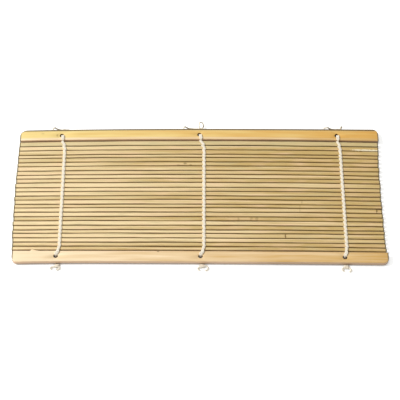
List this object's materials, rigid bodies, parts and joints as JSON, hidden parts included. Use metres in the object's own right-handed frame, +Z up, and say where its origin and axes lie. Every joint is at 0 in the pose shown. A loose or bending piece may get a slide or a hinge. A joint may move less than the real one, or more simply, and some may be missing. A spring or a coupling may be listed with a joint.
{
  "type": "bamboo draining mat",
  "caption": "Flat mat of thin bamboo slats between thick end slats, twined together by pairs of cotton strands that are knotted at the ends. It rolls up either way.",
  "frame": {"origin": "under the middle of the mat, on the surface that it lies on", "axes": "+X along the slats, +Y towards the far edge in the picture, +Z up"},
  "size_m": [0.3, 0.1401, 0.0069],
  "materials": {
    "end_bamboo": "satin",
    "slat_bamboo": "satin",
    "cotton": "matte"
  },
  "bodies": {
    "far_end": {"end_slat_far": "end_bamboo", "knot_far_left": "cotton", "knot_far_middle": "cotton", "knot_far_right": "cotton"},
    "body_01": {"slat_01": "slat_bamboo"},
    "body_02": {"slat_02": "slat_bamboo"},
    "body_03": {"slat_03": "slat_bamboo"},
    "body_04": {"slat_04": "slat_bamboo"},
    "body_05": {"slat_05": "slat_bamboo"},
    "body_06": {"slat_06": "slat_bamboo"},
    "body_07": {"slat_07": "slat_bamboo"},
    "body_08": {"slat_08": "slat_bamboo"},
    "body_09": {"slat_09": "slat_bamboo"},
    "body_10": {"slat_10": "slat_bamboo"},
    "body_11": {"slat_11": "slat_bamboo"},
    "body_12": {"slat_12": "slat_bamboo"},
    "body_13": {"slat_13": "slat_bamboo", "strand_left_a": "cotton", "strand_left_b": "cotton", "strand_middle_a": "cotton", "strand_middle_b": "cotton", "strand_right_a": "cotton", "strand_right_b": "cotton"},
    "body_14": {"slat_14": "slat_bamboo"},
    "body_15": {"slat_15": "slat_bamboo"},
    "body_16": {"slat_16": "slat_bamboo"},
    "body_17": {"slat_17": "slat_bamboo"},
    "body_18": {"slat_18": "slat_bamboo"},
    "body_19": {"slat_19": "slat_bamboo"},
    "body_20": {"slat_20": "slat_bamboo"},
    "body_21": {"slat_21": "slat_bamboo"},
    "body_22": {"slat_22": "slat_bamboo"},
    "body_23": {"slat_23": "slat_bamboo"},
    "body_24": {"slat_24": "slat_bamboo"},
    "body_25": {"slat_25": "slat_bamboo"},
    "body_26": {"slat_26": "slat_bamboo"},
    "near_end": {"end_slat_near": "end_bamboo", "knot_near_left": "cotton", "knot_near_middle": "cotton", "knot_near_right": "cotton"}
  },
  "joints": [
    {"name": "hinge_01", "type": "hinge", "parent": "body_01", "child": "far_end", "pos_m": [0, 0.05215, 0.00275], "axis": [1, 0, 0], "range_deg": [-19, 19], "deforming": ["strand_left_a", "strand_left_b", "strand_middle_a", "strand_middle_b", "strand_right_a", "strand_right_b"]},
    {"name": "hinge_02", "type": "hinge", "parent": "body_02", "child": "body_01", "pos_m": [0, 0.0474, 0.00275], "axis": [1, 0, 0], "range_deg": [-12, 12], "deforming": ["strand_left_a", "strand_left_b", "strand_middle_a", "strand_middle_b", "strand_right_a", "strand_right_b"]},
    {"name": "hinge_03", "type": "hinge", "parent": "body_03", "child": "body_02", "pos_m": [0, 0.0432, 0.00275], "axis": [1, 0, 0], "range_deg": [-11, 11], "deforming": ["strand_left_a", "strand_left_b", "strand_middle_a", "strand_middle_b", "strand_right_a", "strand_right_b"]},
    {"name": "hinge_04", "type": "hinge", "parent": "body_04", "child": "body_03", "pos_m": [0, 0.0386, 0.00275], "axis": [1, 0, 0], "range_deg": [-10, 10], "deforming": ["strand_left_a", "strand_left_b", "strand_middle_a", "strand_middle_b", "strand_right_a", "strand_right_b"]},
    {"name": "hinge_05", "type": "hinge", "parent": "body_05", "child": "body_04", "pos_m": [0, 0.0355, 0.00275], "axis": [1, 0, 0], "range_deg": [-9.5, 9.5], "deforming": ["strand_left_a", "strand_left_b", "strand_middle_a", "strand_middle_b", "strand_right_a", "strand_right_b"]},
    {"name": "hinge_06", "type": "hinge", "parent": "body_06", "child": "body_05", "pos_m": [0, 0.0313, 0.00275], "axis": [1, 0, 0], "range_deg": [-11, 11], "deforming": ["strand_left_a", "strand_left_b", "strand_middle_a", "strand_middle_b", "strand_right_a", "strand_right_b"]},
    {"name": "hinge_07", "type": "hinge", "parent": "body_07", "child": "body_06", "pos_m": [0, 0.0273, 0.00275], "axis": [1, 0, 0], "range_deg": [-11, 11], "deforming": ["strand_left_a", "strand_left_b", "strand_middle_a", "strand_middle_b", "strand_right_a", "strand_right_b"]},
    {"name": "hinge_08", "type": "hinge", "parent": "body_08", "child": "body_07", "pos_m": [0, 0.0229, 0.00275], "axis": [1, 0, 0], "range_deg": [-11, 11], "deforming": ["strand_left_a", "strand_left_b", "strand_middle_a", "strand_middle_b", "strand_right_a", "strand_right_b"]},
    {"name": "hinge_09", "type": "hinge", "parent": "body_09", "child": "body_08", "pos_m": [0, 0.019, 0.00275], "axis": [1, 0, 0], "range_deg": [-10.5, 10.5], "deforming": ["strand_left_a", "strand_left_b", "strand_middle_a", "strand_middle_b", "strand_right_a", "strand_right_b"]},
    {"name": "hinge_10", "type": "hinge", "parent": "body_10", "child": "body_09", "pos_m": [0, 0.0152, 0.00275], "axis": [1, 0, 0], "range_deg": [-10.5, 10.5], "deforming": ["strand_left_a", "strand_left_b", "strand_middle_a", "strand_middle_b", "strand_right_a", "strand_right_b"]},
    {"name": "hinge_11", "type": "hinge", "parent": "body_11", "child": "body_10", "pos_m": [0, 0.0113, 0.00275], "axis": [1, 0, 0], "range_deg": [-12, 12], "deforming": ["strand_left_a", "strand_left_b", "strand_middle_a", "strand_middle_b", "strand_right_a", "strand_right_b"]},
    {"name": "hinge_12", "type": "hinge", "parent": "body_12", "child": "body_11", "pos_m": [0, 0.0066, 0.00275], "axis": [1, 0, 0], "range_deg": [-12, 12], "deforming": ["strand_left_a", "strand_left_b", "strand_middle_a", "strand_middle_b", "strand_right_a", "strand_right_b"]},
    {"name": "hinge_13", "type": "hinge", "parent": "body_13", "child": "body_12", "pos_m": [0, 0.0028, 0.00275], "axis": [1, 0, 0], "range_deg": [-11.5, 11.5], "deforming": ["strand_left_a", "strand_left_b", "strand_middle_a", "strand_middle_b", "strand_right_a", "strand_right_b"]},
    {"name": "hinge_14", "type": "hinge", "parent": "body_13", "child": "body_14", "pos_m": [0, -0.0014, 0.00275], "axis": [-1, 0, 0], "range_deg": [-11.5, 11.5], "deforming": ["strand_left_a", "strand_left_b", "strand_middle_a", "strand_middle_b", "strand_right_a", "strand_right_b"]},
    {"name": "hinge_15", "type": "hinge", "parent": "body_14", "child": "body_15", "pos_m": [0, -0.0051, 0.00275], "axis": [-1, 0, 0], "range_deg": [-12, 12], "deforming": ["strand_left_a", "strand_left_b", "strand_middle_a", "strand_middle_b", "strand_right_a", "strand_right_b"]},
    {"name": "hinge_16", "type": "hinge", "parent": "body_15", "child": "body_16", "pos_m": [0, -0.0094, 0.00275], "axis": [-1, 0, 0], "range_deg": [-11.5, 11.5], "deforming": ["strand_left_a", "strand_left_b", "strand_middle_a", "strand_middle_b", "strand_right_a", "strand_right_b"]},
    {"name": "hinge_17", "type": "hinge", "parent": "body_16", "child": "body_17", "pos_m": [0, -0.0127, 0.00275], "axis": [-1, 0, 0], "range_deg": [-11.5, 11.5], "deforming": ["strand_left_a", "strand_left_b", "strand_middle_a", "strand_middle_b", "strand_right_a", "strand_right_b"]},
    {"name": "hinge_18", "type": "hinge", "parent": "body_17", "child": "body_18", "pos_m": [0, -0.0168, 0.00275], "axis": [-1, 0, 0], "range_deg": [-13, 13], "deforming": ["strand_left_a", "strand_left_b", "strand_middle_a", "strand_middle_b", "strand_right_a", "strand_right_b"]},
    {"name": "hinge_19", "type": "hinge", "parent": "body_18", "child": "body_19", "pos_m": [0, -0.0211, 0.00275], "axis": [-1, 0, 0], "range_deg": [-13, 13], "deforming": ["strand_left_a", "strand_left_b", "strand_middle_a", "strand_middle_b", "strand_right_a", "strand_right_b"]},
    {"name": "hinge_20", "type": "hinge", "parent": "body_19", "child": "body_20", "pos_m": [0, -0.0249, 0.00275], "axis": [-1, 0, 0], "range_deg": [-13, 13], "deforming": ["strand_left_a", "strand_left_b", "strand_middle_a", "strand_middle_b", "strand_right_a", "strand_right_b"]},
    {"name": "hinge_21", "type": "hinge", "parent": "body_20", "child": "body_21", "pos_m": [0, -0.0292, 0.00275], "axis": [-1, 0, 0], "range_deg": [-14, 14], "deforming": ["strand_left_a", "strand_left_b", "strand_middle_a", "strand_middle_b", "strand_right_a", "strand_right_b"]},
    {"name": "hinge_22", "type": "hinge", "parent": "body_21", "child": "body_22", "pos_m": [0, -0.0333, 0.00275], "axis": [-1, 0, 0], "range_deg": [-12.5, 12.5], "deforming": ["strand_left_a", "strand_left_b", "strand_middle_a", "strand_middle_b", "strand_right_a", "strand_right_b"]},
    {"name": "hinge_23", "type": "hinge", "parent": "body_22", "child": "body_23", "pos_m": [0, -0.0366, 0.00275], "axis": [-1, 0, 0], "range_deg": [-13, 13], "deforming": ["strand_left_a", "strand_left_b", "strand_middle_a", "strand_middle_b", "strand_right_a", "strand_right_b"]},
    {"name": "hinge_24", "type": "hinge", "parent": "body_23", "child": "body_24", "pos_m": [0, -0.0408, 0.00275], "axis": [-1, 0, 0], "range_deg": [-14.5, 14.5], "deforming": ["strand_left_a", "strand_left_b", "strand_middle_a", "strand_middle_b", "strand_right_a", "strand_right_b"]},
    {"name": "hinge_25", "type": "hinge", "parent": "body_24", "child": "body_25", "pos_m": [0, -0.0448, 0.00275], "axis": [-1, 0, 0], "range_deg": [-14, 14], "deforming": ["strand_left_a", "strand_left_b", "strand_middle_a", "strand_middle_b", "strand_right_a", "strand_right_b"]},
    {"name": "hinge_26", "type": "hinge", "parent": "body_25", "child": "body_26", "pos_m": [0, -0.0486, 0.00275], "axis": [-1, 0, 0], "range_deg": [-13.5, 13.5], "deforming": ["strand_left_a", "strand_left_b", "strand_middle_a", "strand_middle_b", "strand_right_a", "strand_right_b"]},
    {"name": "hinge_27", "type": "hinge", "parent": "body_26", "child": "near_end", "pos_m": [0, -0.05265, 0.00275], "axis": [-1, 0, 0], "range_deg": [-27, 27], "deforming": ["strand_left_a", "strand_left_b", "strand_middle_a", "strand_middle_b", "strand_right_a", "strand_right_b"]}
  ]
}
